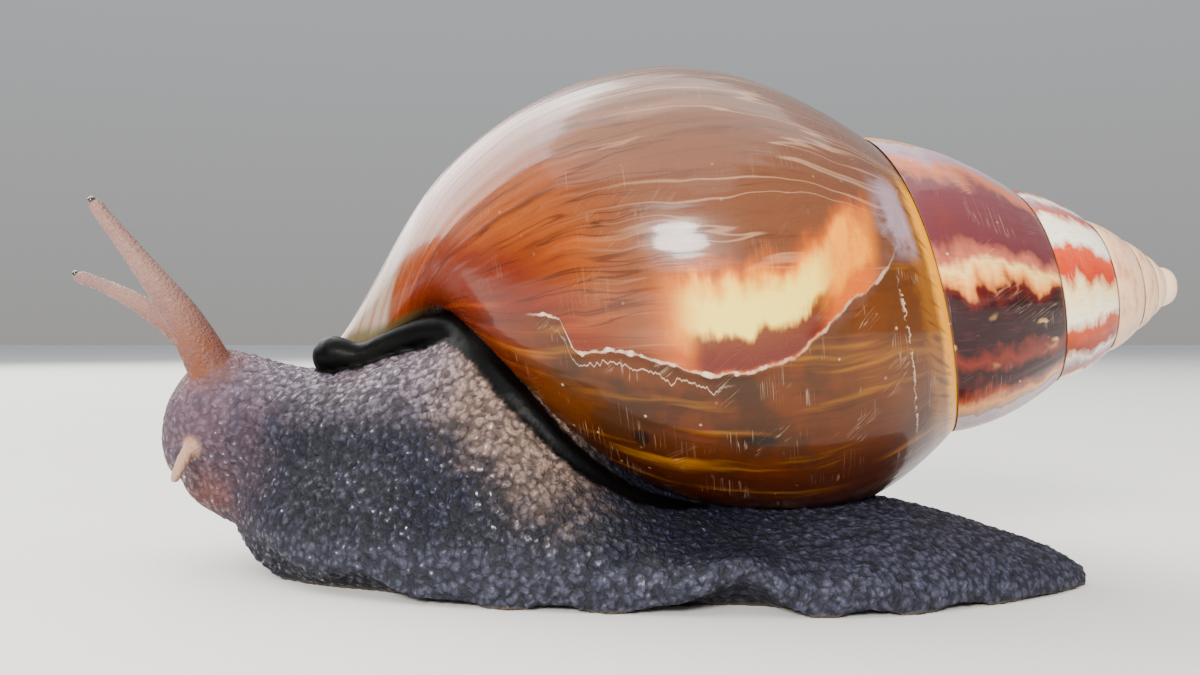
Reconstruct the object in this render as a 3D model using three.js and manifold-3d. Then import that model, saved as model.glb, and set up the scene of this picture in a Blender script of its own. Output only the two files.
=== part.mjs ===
// Giant African land snail, life size, crawling with its head towards -X.
// Millimetres, +Z up.  The left side of the animal faces -Y and the sole lies on z = 0.
import * as THREE from 'three'
import Module from 'manifold-3d'

const wasm = await Module()
wasm.setup()

// ---------- driving sizes ----------
const gap = 0.3                    // clearance between neighbouring parts
const shiftX = 0.41                // moves the finished animal onto the row origin
const shiftY = -2.34

const apexX = 67.2                 // shell axis: apex position, height and slope
const axisHeight = 29.2
const axisSlope = 0.057
const axisYaw = -0.011             // radians
const lipAngle = -44.4             // angle of the outer lip about the axis, degrees
const wallThickness = 1.0
const turnSteps = 28               // mesh steps in one turn of the last whorl

const footHalfWidth = 22.3
const marginThickness = 1.3

// ---------- small helpers ----------
const clamp = (v, lo, hi) => Math.min(hi, Math.max(lo, v))
const mix = (a, b, t) => a + (b - a) * t
const smooth = (a, b, v) => {
  const t = clamp((v - a) / (b - a), 0, 1)
  return t * t * (3 - 2 * t)
}

// value of a smooth curve through [x, value, ...] rows, one column at a time
function along(rows, x, column) {
  const last = rows.length - 1
  let i = 0
  while (i < last - 1 && x > rows[i + 1][0]) i += 1
  const a = rows[Math.max(0, i - 1)]
  const b = rows[i]
  const c = rows[i + 1]
  const d = rows[Math.min(last, i + 2)]
  const slopeB = (c[column] - a[column]) / (c[0] - a[0])
  const slopeC = (d[column] - b[column]) / (d[0] - b[0])
  const h = c[0] - b[0]
  const t = clamp((x - b[0]) / h, 0, 1)
  const t2 = t * t
  const t3 = t2 * t
  return (2 * t3 - 3 * t2 + 1) * b[column] + (t3 - 2 * t2 + t) * h * slopeB +
    (3 * t2 - 2 * t3) * c[column] + (t3 - t2) * h * slopeC
}

// indexed triangles turned outwards and made solid
function solidFrom(points, index) {
  let volume = 0
  for (let i = 0; i < index.length; i += 3) {
    const [a, b, c] = [points[index[i]], points[index[i + 1]], points[index[i + 2]]]
    volume += a[0] * (b[1] * c[2] - b[2] * c[1]) +
      a[1] * (b[2] * c[0] - b[0] * c[2]) +
      a[2] * (b[0] * c[1] - b[1] * c[0])
  }
  if (volume < 0) index.reverse()
  const mesh = new wasm.Mesh({
    numProp: 3,
    vertProperties: new Float32Array(points.flat()),
    triVerts: new Uint32Array(index),
  })
  return new wasm.Manifold(mesh)
}

// closed loops of equal length joined into a solid
// the ends close rung by rung across the loop, or as a fan about the first point of the loop
function loft(loops, fan = false) {
  const count = loops[0].length
  const index = []
  for (let i = 0; i < loops.length - 1; i += 1) {
    for (let j = 0; j < count; j += 1) {
      const k = (j + 1) % count
      const [a, b] = [i * count + j, i * count + k]
      index.push(a, b, b + count, a, b + count, a + count)
    }
  }
  const last = (loops.length - 1) * count
  for (let j = 1; fan && j < count - 1; j += 1) {
    index.push(0, j + 1, j, last, last + j, last + j + 1)
  }
  for (let j = 0; !fan && j < count / 2 - 1; j += 1) {
    const [a, b, c, d] = [j, j + 1, count - 2 - j, count - 1 - j]
    index.push(a, c, b, a, d, c)
    index.push(last + a, last + b, last + c, last + a, last + c, last + d)
  }
  return solidFrom(loops.flat(), index)
}

// ---------- shell ----------
// n counts whorls back from the lip; s runs along the axis from the apex; r is the radius
const sutureS = n => 31.14 * Math.exp(-0.49 * n) + 16.4 * Math.exp(-1.032 * n)
const sutureR = n => 20.73 * Math.exp(-0.37 * n) + 5.76 * Math.exp(-3.1 * n) - 3.4 * Math.exp(-n / 0.12)
const widest = n => 31.77 - 5.885 * n - 3.31 * n * n - 1.5 * Math.exp(-((n / 0.15) ** 2)) + smooth(0.85, 1, n)
const widestS = n => 71.3 - 30.1 * n
const baseS = n => 79.7 + 22 / (1 + Math.exp((n - 0.49) / 0.12))
const baseSharp = n => 0.852 - 0.475 * n + 0.9 * Math.max(0, n - 0.64)
const shoulderSharp = n => 1.703 + 0.42 * n

function outline(n, s) {
  if (s < widestS(n)) {
    const x = clamp((widestS(n) - s) / (widestS(n) - sutureS(n)), 0, 1)
    return widest(n) - (widest(n) - sutureR(n)) * x ** shoulderSharp(n)
  }
  const y = clamp((s - widestS(n)) / (baseS(n) - widestS(n)), 0, 1)
  return widest(n) * (1 - y * y) ** baseSharp(n)
}

// exposed strip of a whorl, t = 0 at its own suture and t = 1 at the next one
function strip(n, t) {
  if (n <= 1) {
    const s = mix(sutureS(n), widestS(n) + 6.34, t)
    return [s, outline(n, s)]
  }
  const firstS = mix(sutureS(1), sutureS(0), t)
  const inherited = (outline(1, firstS) - mix(sutureR(1), sutureR(0), t)) / 31
  const chord = Math.hypot(sutureS(n - 1) - sutureS(n), sutureR(n - 1) - sutureR(n))
  const hump = mix(inherited, 0.3 * t * (1 - t), smooth(1, 1.4, n)) * chord
  return [mix(sutureS(n), sutureS(n - 1), t), mix(sutureR(n), sutureR(n - 1), t) + hump]
}

// base of the last whorl, t = 0 where the strip ends and t = 1 at the columella
function base(n, t) {
  const start = widestS(n) + 6.34
  const s = mix(start, baseS(n), Math.sin(t * Math.PI / 2))
  return [s, outline(n, s)]
}

const axisTowardsBase = new THREE.Vector3(-Math.cos(axisYaw), -Math.sin(axisYaw), -axisSlope).normalize()
const axisAcross = new THREE.Vector3(-Math.sin(axisYaw), Math.cos(axisYaw), 0)
axisAcross.addScaledVector(axisTowardsBase, -axisAcross.dot(axisTowardsBase)).normalize()
const axisUp = new THREE.Vector3().crossVectors(axisAcross, axisTowardsBase).negate()
if (axisUp.z < 0) axisUp.negate()

// the basal lip hangs below the axis in front and lifts at the columella
const lipDrop = (n, s) => smooth(0.78, 1, (s - 47) / (baseS(n) - 47)) *
  mix(-2.4, 1.7, smooth(0.4, 0.62, n)) * (1 - smooth(0.68, 0.8, n))

function place(n, s, r, drop = s > 70 ? lipDrop(clamp(n, 0, 1), s) : 0) {
  const psi = (lipAngle + 360 * n) * Math.PI / 180
  const p = new THREE.Vector3(apexX, 0, axisHeight + axisSlope * apexX)
  p.addScaledVector(axisTowardsBase, s)
  p.addScaledVector(axisAcross, r * Math.cos(psi))
  p.addScaledVector(axisUp, r * Math.sin(psi))
  return [p.x, p.y, p.z + drop]
}

// screw-shaped solid swept from n0 to n1; polygon(n) gives its section as [s, r] corners
function sweep(n0, n1, stepsPerTurn, polygon, fan = true) {
  const pieces = Math.max(1, Math.ceil((n1 - n0) / 0.34))
  let whole = null
  for (let p = 0; p < pieces; p += 1) {
    const from = mix(n0, n1, p / pieces)
    const to = mix(n0, n1, (p + 1) / pieces)
    const steps = Math.max(1, Math.round((to - from) * stepsPerTurn))
    const ns = Array.from({ length: steps + 1 }, (_, i) => mix(from, to, i / steps))
    const piece = loft(ns.map(n => polygon(n).map(c => place(n, c[0], c[1]))), fan)
    whole = whole ? whole.add(piece) : piece
  }
  return whole
}

// section between an outline and the narrow core left round the axis
const withCore = (n, list) => {
  const core = Math.min(0.6, 0.3 * sutureR(n))
  return [[list[0][0], core], ...list, [list[list.length - 1][0], core]]
}

function lastWhorl(grow) {
  const inset = gap / 2 - grow
  const start = grow > 0 ? -0.004 : 0
  return sweep(start, 1, turnSteps, n => {
    const from = sutureS(n) + inset
    const list = []
    for (let j = 0; j <= 6; j += 1) {
      const s = mix(from, widestS(n) + 4, j / 6)
      list.push([s, outline(n, Math.max(s, sutureS(n))) + grow])
    }
    for (let j = 1; j <= 9; j += 1) {
      const s = mix(widestS(n) + 4, baseS(n), Math.sin(j / 9 * Math.PI / 2))
      list.push([s + grow * j / 9, Math.max(outline(n, s) + grow, 0.7)])
    }
    return withCore(n, list)
  })
}

function upperWhorls(a, b, stepsPerTurn, rows, grow) {
  return sweep(a + 0.003, b, stepsPerTurn, n => {
    const rear = n > b - 1 ? gap / 2 : -0.3
    const front = n < a + 1.02 ? -gap / 2 : 0.3
    const list = []
    for (let j = 0; j <= rows; j += 1) {
      const [s, r] = strip(n, j / rows)
      list.push([s, r + grow])
    }
    list[0][0] += rear
    if (rear < 0) list[0][1] -= 0.3
    list[rows][0] += front
    if (front > 0) list[rows][1] -= 0.2
    return withCore(n, list)
  })
}

// hollow behind the lip: between the outer wall and the wall of the turn before
function hollow(n0, n1, stepsPerTurn, inset) {
  return sweep(n0, n1, stepsPerTurn, n => {
    const top = baseS(n) - 2.2 - inset
    const from = sutureS(n) + 3 + inset
    const list = []
    for (let j = 0; j <= 10; j += 1) {
      const s = mix(from, top, Math.sin(j / 10 * Math.PI / 2))
      list.push([s, Math.max(outline(n, s) - wallThickness - inset, 2.4)])
    }
    for (const [s] of [...list].reverse()) {
      const before = s < baseS(n + 1) ? outline(n + 1, s) + 0.6 : 0
      const wall = Math.max(before, mix(3.6, 1.6, smooth(82, 88, s))) + inset
      const roof = Math.max(outline(n, s) - wallThickness - inset, 2.4)
      list.push([s, Math.min(wall, roof - 0.6)])
    }
    return list
  }, false)
}

// short pillar round the axis inside the opening
function columella(grow) {
  const loops = []
  const rows = [[47.3, 1.0, 0], [60, 2.6, 0], [72, 3.2, 0.2], [78, 3, 0.4], [82.5, 2.2, 0.8], [84, 1.1, 1.0]]
  for (const [s, r, lift] of rows) {
    loops.push(Array.from({ length: 10 }, (_, k) => place(k / 10, s + grow * (s > 80), r + grow, lift)))
  }
  return loft(loops)
}

// blunt first whorl closing the end of the spire
function tip() {
  const loops = []
  for (const [s, r] of [[-0.1, 0.5], [0.1, 1.1], [0.6, 1.75], [1.5, 2.2], [2.3, 2.2], [6.8, 1]]) {
    loops.push(Array.from({ length: 10 }, (_, k) => place(k / 10, s, r, 0)))
  }
  return loft(loops)
}

// ---------- flesh ----------
// x, height of the back above the sole
const backRows = [
  [-44, 9], [-42, 13], [-38, 18.5], [-32, 21.5], [-26, 23.5], [-20, 27], [-14, 31], [-9, 29], [-4, 22.5],
  [0, 17.5], [5, 12.5], [12, 9.6], [20, 9], [31, 9], [38, 7.6], [44.6, 5.6], [50, 3.7], [53, 1.8],
]
const middleY = x => -1 - 0.14 * x

function halfWidth(x) {
  const v = (x - 5) / 48.6
  const shape = v < 0 ? Math.max(0, 1 - Math.abs(v) ** 3) ** 0.5 : Math.max(0, 1 - v * v) ** 0.75
  return footHalfWidth * shape + 1.2 * Math.exp(-(((x - 27) / 9) ** 2))
}

// the edge of the sole curls off the ground under the head and in one fold towards the tail
function edgeLift(x, side) {
  const front = 2.3 * smooth(-14, -27, x) + 4.4 * smooth(-31, -44, x)
  const ripple = 0.35 * Math.sin(x * 0.62 + 2 * side) * smooth(48, 38, x)
  const fold = side < 0 ? 3.2 * Math.exp(-(((x - 13) / 4.4) ** 2)) : 1.6 * Math.exp(-(((x + 2) / 5) ** 2))
  return (side < 0 ? front : 0.7 * front) + fold + 0.35 + ripple
}

// the whole front end of the sole rises off the ground
const noseLift = x => 4.4 * smooth(-34.5, -44, x)

// section of foot and body at x: over the back from left to right, then back along the sole
function footSection(x, ceiling) {
  const half = halfWidth(x)
  const back = Math.min(along(backRows, x, 1), ceiling)
  const top = []
  const sole = []
  const count = 10
  for (let j = 0; j < count; j += 1) {
    const v = -Math.cos(j / (count - 1) * Math.PI)
    const side = Math.sign(v)
    const steep = mix(1.2, 1.12, smooth(-34, -14, x))
    const arch = Math.max(0, 1 - v * v) ** (steep / 2)
    const lift = Math.max(noseLift(x), edgeLift(x, side) * smooth(0.72, 1, Math.abs(v)))
    const thin = Math.min(marginThickness, 0.3 + 0.05 * half)
    const y = middleY(x) + v * half
    sole.push([x, y, lift])
    top.push([x, y, lift + thin + arch * Math.max(back - thin - lift, 0.1)])
  }
  return [...top, ...sole.reverse()]
}

function foot(x0, x1, count, ceiling = 40) {
  const loops = []
  for (let i = 0; i <= count; i += 1) loops.push(footSection(mix(x0, x1, i / count), ceiling))
  return loft(loops)
}

// neck and head: x, centre y, centre z, half width, half height
const neckRows = [
  [-16, 0.4, 15, 19.4, 12.5], [-22, 1.6, 14.7, 17.6, 11.6], [-28, 2.9, 14.2, 14.8, 10.0],
  [-35, 4.4, 14.6, 11.8, 8.6], [-42, 5.6, 16.2, 9.5, 8.6], [-46.5, 6.3, 17.2, 8.7, 8.6],
  [-50, 6.8, 16.2, 7.2, 7.0], [-52.4, 7.1, 15.2, 4.6, 4.7], [-53.4, 7.2, 15.0, 1.6, 1.6],
]

function neckSection(x, grow) {
  const [y, z, b, c] = [1, 2, 3, 4].map(k => along([...neckRows].reverse(), x, k))
  return Array.from({ length: 16 }, (_, k) => {
    const a = k / 16 * 2 * Math.PI
    return [x, y + (b + grow) * Math.cos(a), z + (c + grow) * Math.sin(a)]
  })
}

function neck(x0, x1, count, grow = 0) {
  const loops = []
  for (let i = 0; i <= count; i += 1) loops.push(neckSection(mix(x0, x1, i / count), grow))
  return loft(loops)
}

// round limb along a curve of [x, y, z, radius] points
function limb(points, sides, count, grow = 0) {
  const curve = new THREE.CatmullRomCurve3(points.map(p => new THREE.Vector3(p[0], p[1], p[2])))
  const loops = []
  for (let i = 0; i <= count; i += 1) {
    const t = i / count
    const centre = curve.getPoint(t)
    const tangent = curve.getTangent(t)
    const side = new THREE.Vector3(0, 0, 1).cross(tangent).normalize()
    const over = new THREE.Vector3().crossVectors(tangent, side)
    const at = t * (points.length - 1)
    const k = Math.min(points.length - 2, Math.floor(at))
    const radius = mix(points[k][3], points[k + 1][3], at - k) + grow
    loops.push(Array.from({ length: sides }, (_, j) => {
      const a = j / sides * 2 * Math.PI
      const p = centre.clone().addScaledVector(side, radius * Math.cos(a))
      p.addScaledVector(over, radius * Math.sin(a))
      return [p.x, p.y, p.z]
    }))
  }
  return loft(loops)
}

const stalkLeft = [
  [-44.6, 3.4, 18.5, 2.9], [-46.0, 2.4, 22.2, 2.75], [-47.6, 1.6, 26.0, 2.45], [-49.6, 0.6, 30.0, 2.0],
  [-52.4, -0.4, 34.0, 1.55], [-55.2, -1.3, 38.0, 1.2], [-57.4, -1.9, 41.0, 1.0], [-58.2, -2.2, 42.2, 0.9],
]
const stalkRight = [
  [-44.9, 9.3, 19.0, 2.9], [-47.6, 10.0, 22.4, 2.5], [-51.2, 10.8, 26.0, 1.95], [-55.4, 11.7, 29.2, 1.5],
  [-60.2, 12.5, 32.0, 1.2], [-64.4, 13.1, 33.9, 1.0], [-67.0, 13.5, 34.8, 0.9],
]
const feelerLeft = [
  [-46.3, 0.4, 16, 1.5], [-47.6, -1.6, 14, 1.2], [-48.4, -2.7, 12.0, 0.9], [-48.9, -3.2, 10.4, 0.6],
]
const feelerRight = [
  [-49, 12, 15, 1.5], [-50.6, 13.4, 13.2, 1.2], [-51.8, 14.3, 11.4, 0.9], [-52.6, 14.8, 9.9, 0.6],
]

function ball(x, y, z, radius) {
  const loops = []
  for (let i = 0; i <= 6; i += 1) {
    const a = mix(0.12, Math.PI - 0.12, i / 6)
    loops.push(Array.from({ length: 8 }, (_, k) => {
      const b = k / 8 * 2 * Math.PI
      const r = radius * Math.sin(a)
      return [x + r * Math.cos(b), y + r * Math.sin(b), z + radius * Math.cos(a)]
    }))
  }
  return loft(loops)
}

// dark rim of the mantle, a ring following the edge of the opening
const rimPath = [
  [-31.6, 0.4, 24.9, 1.9], [-27.8, -1.2, 24.6, 1.2], [-24.4, -1.6, 26.2, 1.3], [-21.2, -2.2, 27.2, 1.7],
  [-18.2, -3.2, 27.9, 2.0], [-15.6, -5.0, 28.0, 1.8], [-13.2, -8.2, 26.1, 1.3], [-10.2, -11.4, 23.3, 1.1],
  [-7.4, -13.0, 20.6, 1.1], [-2.6, -13.9, 15.6, 1.1], [2.0, -13.6, 12.0, 1.1], [7.0, -12.0, 9.6, 1.1],
  [13.0, -8.5, 7.6, 1.2], [19.0, -2.0, 7.4, 1.3], [22.5, 6.0, 9.0, 1.3], [21.5, 12.5, 12.6, 1.2],
  [18.3, 16.0, 15.0, 1.2], [8.5, 19.0, 11.7, 1.2], [-1.3, 20.5, 9.8, 1.2], [-11.4, 19.1, 10.7, 1.2],
  [-21.8, 13.3, 15.8, 1.2], [-29.3, 6.2, 20.8, 1.3],
]

function rim(grow = 0) {
  const curve = new THREE.CatmullRomCurve3(rimPath.map(p => new THREE.Vector3(p[0], p[1], p[2])), true)
  const whole = 40
  const loops = []
  for (let i = 0; i < whole; i += 1) {
    const t = i / whole
    const centre = curve.getPoint(t)
    const tangent = curve.getTangent(t)
    const out = centre.clone().sub(new THREE.Vector3(-6, 3, 18))
    out.addScaledVector(tangent, -out.dot(tangent)).normalize()
    const up = new THREE.Vector3().crossVectors(tangent, out)
    const at = t * rimPath.length
    const k = Math.floor(at) % rimPath.length
    const radius = mix(rimPath[k][3], rimPath[(k + 1) % rimPath.length][3], at - Math.floor(at)) + grow
    loops.push(Array.from({ length: 7 }, (_, j) => {
      const a = (j + 0.5) / 7 * 2 * Math.PI
      const p = centre.clone().addScaledVector(out, radius * Math.cos(a))
      p.addScaledVector(up, radius * Math.sin(a))
      return [p.x, p.y, p.z]
    }))
  }
  const half = loft(loops.slice(0, whole / 2 + 1))
  return half.add(loft([...loops.slice(whole / 2), loops[0]]))
}

// block across the plane where the last turn closes on itself
const closing = sweep(0.98, 1.006, turnSteps, n => {
  const list = [47.75, 52, 60, 68, 76].map(s => [s, outline(1, s) - 1])
  return [...list, ...list.map(([s]) => [s, 0.3]).reverse()]
}, false)

// ---------- parts ----------
const shell = lastWhorl(0).add(closing).subtract(hollow(-0.02, 0.2, turnSteps, 0)).add(columella(0))
const shellRoom = lastWhorl(gap).subtract(hollow(-0.03, 0.2, turnSteps, gap)).add(columella(gap)).add(shell)
const mantle = hollow(-0.006, 0.13, turnSteps, 0.45).add(rim()).subtract(shellRoom)
const mantleRoom = rim(gap).add(hollow(-0.012, 0.22, turnSteps, -0.05))
const headRoom = neck(-53.6, -14, 14, gap)
const stalkRooms = limb(stalkLeft, 9, 10, gap).add(limb(stalkRight, 9, 10, gap))
const feelerRooms = limb(feelerLeft, 8, 5, gap).add(limb(feelerRight, 8, 5, gap))

const named = {}
named.shell_body_whorl = shell
named.shell_penultimate_whorl = upperWhorls(1, 2, 28, 5, 0)
named.shell_third_whorl = upperWhorls(2, 3, 24, 4, 0)
named.shell_apex = upperWhorls(3, 6, 16, 2, 0).add(tip())
named.mantle_collar = mantle
named.trunk = foot(-22, 22, 16).subtract(shellRoom).subtract(mantleRoom)
named.tail = foot(22.3, 53, 11).subtract(shellRoom)
named.foot_front = foot(-43.3, -22.3, 10).subtract(headRoom).subtract(shellRoom).subtract(mantleRoom)
named.neck = neck(-41.9, -22.3, 6).subtract(shellRoom).subtract(mantleRoom)
named.head = neck(-53.4, -42.2, 7).subtract(stalkRooms).subtract(feelerRooms)
named.eye_stalk_left = limb(stalkLeft, 9, 10)
named.eye_stalk_right = limb(stalkRight, 9, 10)
named.lower_tentacle_left = limb(feelerLeft, 8, 5)
named.lower_tentacle_right = limb(feelerRight, 8, 5)
named.eye_left = ball(-58.65, -2.42, 42.84, 0.46)
named.eye_right = ball(-67.66, 13.57, 35.2, 0.46)

const finishes = {
  shell: [0x8a4a1e, 0.3],
  mantle: [0x14130f, 0.45],
  eye: [0x17181c, 0.3],
  stalk: [0x8a5a48, 0.6],
  flesh: [0x3c3d46, 0.7],
}
function finishOf(name) {
  if (name.startsWith('shell')) return finishes.shell
  if (name.startsWith('mantle')) return finishes.mantle
  if (name === 'eye_left' || name === 'eye_right') return finishes.eye
  if (name.startsWith('eye_stalk')) return finishes.stalk
  return finishes.flesh
}

const group = new THREE.Group()
for (const [name, solid] of Object.entries(named)) {
  const mesh = solid.getMesh()
  const geometry = new THREE.BufferGeometry()
  const points = Array.from({ length: mesh.vertProperties.length / mesh.numProp }, (_, i) => i * mesh.numProp)
  const placed = points.flatMap(i => [
    mesh.vertProperties[i] + shiftX, mesh.vertProperties[i + 1] + shiftY, mesh.vertProperties[i + 2],
  ])
  geometry.setAttribute('position', new THREE.BufferAttribute(new Float32Array(placed), 3))
  geometry.setIndex(new THREE.BufferAttribute(new Uint32Array(mesh.triVerts), 1))
  const [color, roughness] = finishOf(name)
  const part = new THREE.Mesh(geometry, new THREE.MeshStandardMaterial({ color, roughness, metalness: 0 }))
  part.name = name
  group.add(part)
}
export default group
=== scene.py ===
import math

import bpy
import numpy as np
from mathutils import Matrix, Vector


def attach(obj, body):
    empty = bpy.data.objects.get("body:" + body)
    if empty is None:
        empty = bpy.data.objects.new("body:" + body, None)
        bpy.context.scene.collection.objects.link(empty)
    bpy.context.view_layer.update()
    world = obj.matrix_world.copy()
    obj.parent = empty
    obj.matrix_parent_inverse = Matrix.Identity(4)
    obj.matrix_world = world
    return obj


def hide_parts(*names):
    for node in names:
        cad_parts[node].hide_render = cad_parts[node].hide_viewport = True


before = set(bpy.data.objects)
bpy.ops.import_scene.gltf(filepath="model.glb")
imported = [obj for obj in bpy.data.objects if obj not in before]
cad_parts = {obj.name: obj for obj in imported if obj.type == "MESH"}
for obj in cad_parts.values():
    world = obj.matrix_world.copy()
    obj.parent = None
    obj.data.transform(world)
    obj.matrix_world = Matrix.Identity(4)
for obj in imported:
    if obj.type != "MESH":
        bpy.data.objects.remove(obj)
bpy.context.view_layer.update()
print("frame loaded")

# every size below is in millimetres unless it says otherwise; meshes are written in metres
mm = 0.001


def smooth(a, b, v):
    # eases from 0 at a to 1 at b
    t = np.clip((v - a) / (b - a), 0, 1)
    return t * t * (3 - 2 * t)


def mix(a, b, t):
    # a straight blend: a at t = 0 and b at t = 1
    return a + (b - a) * t


def along(rows, x, column):
    # a smooth curve through the rows: cubic pieces whose slopes come from the neighbouring rows
    table = np.array(rows, float)
    xs, ys = table[:, 0], table[:, column]
    slopes = np.empty(len(xs))
    slopes[1:-1] = (ys[2:] - ys[:-2]) / (xs[2:] - xs[:-2])
    slopes[0], slopes[-1] = (ys[1] - ys[0]) / (xs[1] - xs[0]), (ys[-1] - ys[-2]) / (xs[-1] - xs[-2])
    x = np.clip(x, xs[0], xs[-1])
    i = np.clip(np.searchsorted(xs, x, "right") - 1, 0, len(xs) - 2)
    h = xs[i + 1] - xs[i]
    t = (x - xs[i]) / h
    return ((2 * t**3 - 3 * t**2 + 1) * ys[i] + (t**3 - 2 * t**2 + t) * h * slopes[i]
            + (3 * t**2 - 2 * t**3) * ys[i + 1] + (t**3 - t**2) * h * slopes[i + 1])


# shell shape: n counts turns back from the lip, s runs down the axis from the apex, r is the radius

shellForm = {
    "apexX": 67.2,           # where the axis starts
    "axisHeight": 29.2,
    "axisSlope": 0.057,
    "axisYaw": -0.011,       # radians
    "lipAngle": -44.4,       # degrees, where the outer lip stands about the axis
    "wall": 1.0,
    "shoulderReach": 6.34,   # a turn's upper part ends this far below its widest place
    "shift": (0.41, -2.34, 0.0),   # brings the animal onto its own origin
}


def sutureS(n):
    # how far down the axis the seam lies: two falls by a constant factor a turn, added
    return 31.14 * np.exp(-0.49 * n) + 16.4 * np.exp(-1.032 * n)


def sutureR(n):
    # how far out the seam lies: a slow fall and a quick one, less a dip that ends soon behind the lip
    return 20.73 * np.exp(-0.37 * n) + 5.76 * np.exp(-3.1 * n) - 3.4 * np.exp(-n / 0.12)


def widest(n):
    # the greatest radius of the last turn: a downward curve in n, drawn in at the lip, fuller at the far end
    return 31.77 - 5.885 * n - 3.31 * n * n - 1.5 * np.exp(-((n / 0.15) ** 2)) + smooth(0.85, 1, n)


def widestS(n):
    # where along the axis that radius lies: a straight line in n
    return 71.3 - 30.1 * n


def baseS(n):
    # the lower end of the turn: a smooth step from the long front of the opening to the short base behind it
    return 79.7 + 22 / (1 + np.exp((n - 0.49) / 0.12))


def outline(n, s):
    # radius of the last turn: a rounded shoulder up to its widest place, then a closing base
    x = np.clip((widestS(n) - s) / (widestS(n) - sutureS(n)), 0, 1)
    shoulder = widest(n) - (widest(n) - sutureR(n)) * x ** (1.703 + 0.42 * n)
    y = np.clip((s - widestS(n)) / (baseS(n) - widestS(n)), 0, 1)
    closing = widest(n) * (1 - y * y) ** (0.852 - 0.475 * n + 0.9 * np.maximum(0, n - 0.64))
    return np.where(s < widestS(n), shoulder, closing)


def strip(n, t):
    # the band of a turn between its own seam at t = 0 and the next seam at t = 1
    s = mix(sutureS(n), widestS(n) + shellForm["shoulderReach"], t)
    r = outline(n, s)
    one = np.ones_like(n)
    firstS = mix(sutureS(one), sutureS(0 * one), t)
    inherited = (outline(one, firstS) - mix(sutureR(one), sutureR(0 * one), t)) / 31
    m = np.maximum(n, 1)
    chord = np.hypot(sutureS(m - 1) - sutureS(m), sutureR(m - 1) - sutureR(m))
    hump = mix(inherited, 0.3 * t * (1 - t), smooth(1, 1.4, n)) * chord
    upperS = mix(sutureS(m), sutureS(m - 1), t)
    upperR = mix(sutureR(m), sutureR(m - 1), t) + hump
    return np.where(n <= 1, s, upperS), np.where(n <= 1, r, upperR)


slope = shellForm["axisSlope"]
yaw = shellForm["axisYaw"]
towardsBase = np.array([-math.cos(yaw), -math.sin(yaw), -slope])
towardsBase /= np.linalg.norm(towardsBase)
across = np.array([-math.sin(yaw), math.cos(yaw), 0.0])
across -= across.dot(towardsBase) * towardsBase
across /= np.linalg.norm(across)
upward = np.cross(towardsBase, across)
upward *= np.sign(upward[2])


def aboutAxis(n, s, r):
    # a place from n, s and r: along the axis by s and out by r at the angle of n; the base hangs a little
    angle = np.radians(shellForm["lipAngle"] + 360 * n)
    m = np.clip(n, 0, 1)
    drop = (smooth(0.78, 1, (s - 47) / (baseS(m) - 47)) * mix(-2.4, 1.7, smooth(0.4, 0.62, m))
            * (1 - smooth(0.68, 0.8, m)) * (s > 70))
    start = np.array([shellForm["apexX"], 0, shellForm["axisHeight"] + slope * shellForm["apexX"]])
    place = (start + s[..., None] * towardsBase + (r * np.cos(angle))[..., None] * across
             + (r * np.sin(angle))[..., None] * upward)
    place[..., 2] += drop
    return place + np.array(shellForm["shift"])


# mesh making

def meshFrom(name, vertices, faces, attributes=None):
    # one object from places in millimetres and the corners of its faces, with values carried on its points
    mesh = bpy.data.meshes.new(name)
    vertices = np.asarray(vertices, float).reshape(-1, 3) * mm
    mesh.from_pydata(vertices.tolist(), [], faces.tolist())
    for label, values in (attributes or {}).items():
        values = np.asarray(values, float)
        kind = "FLOAT" if values.ndim == 1 else "FLOAT_VECTOR"
        field = mesh.attributes.new(label, kind, "POINT")
        field.data.foreach_set("value" if kind == "FLOAT" else "vector", values.ravel())
    mesh.polygons.foreach_set("use_smooth", [True] * len(mesh.polygons))
    mesh.update()
    piece = bpy.data.objects.new(name, mesh)
    bpy.context.scene.collection.objects.link(piece)
    return piece


def gridFaces(rows, columns, roundColumns=False, first=0, flip=False):
    # the four-cornered faces between neighbouring rows and columns of a grid
    i = np.arange(rows - 1)[:, None]
    j = np.arange(columns if roundColumns else columns - 1)[None]
    k = (j + 1) % columns
    corners = [i * columns + j, i * columns + k, (i + 1) * columns + k, (i + 1) * columns + j]
    faces = np.stack([c * np.ones_like(i * j) for c in corners], -1).reshape(-1, 4) + first
    return faces[:, ::-1] if flip else faces


def closedTube(sections):
    # round sections joined along a path, closed at each end by a ring drawn in to its own middle
    ends = []
    for ring in (sections[0], sections[-1]):
        middle = ring.mean(0)
        ends.append(middle + (ring - middle) * 1e-3)
    rings = np.concatenate([ends[0][None], sections, ends[1][None]])
    return rings.reshape(-1, 3), gridFaces(len(rings), rings.shape[1], True)


class Waves:
    # a fixed smooth wander: sines of rising pitch with phases drawn once from a seed
    def __init__(self, seed, slowest, fastest, count, fall=0.6):
        rng = np.random.default_rng(seed)
        self.pitch = np.geomspace(slowest, fastest, count) * rng.uniform(0.85, 1.15, count)
        self.phase = rng.uniform(0, 2 * np.pi, count)
        self.size = (self.pitch / slowest) ** -fall
        self.size /= np.sqrt((self.size ** 2).sum() / 2)

    def __call__(self, x):
        total = np.zeros_like(x)
        for pitch, phase, size in zip(self.pitch, self.phase, self.size):
            total += size * np.sin(pitch * x + phase)
        return total


# shell surface

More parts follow.
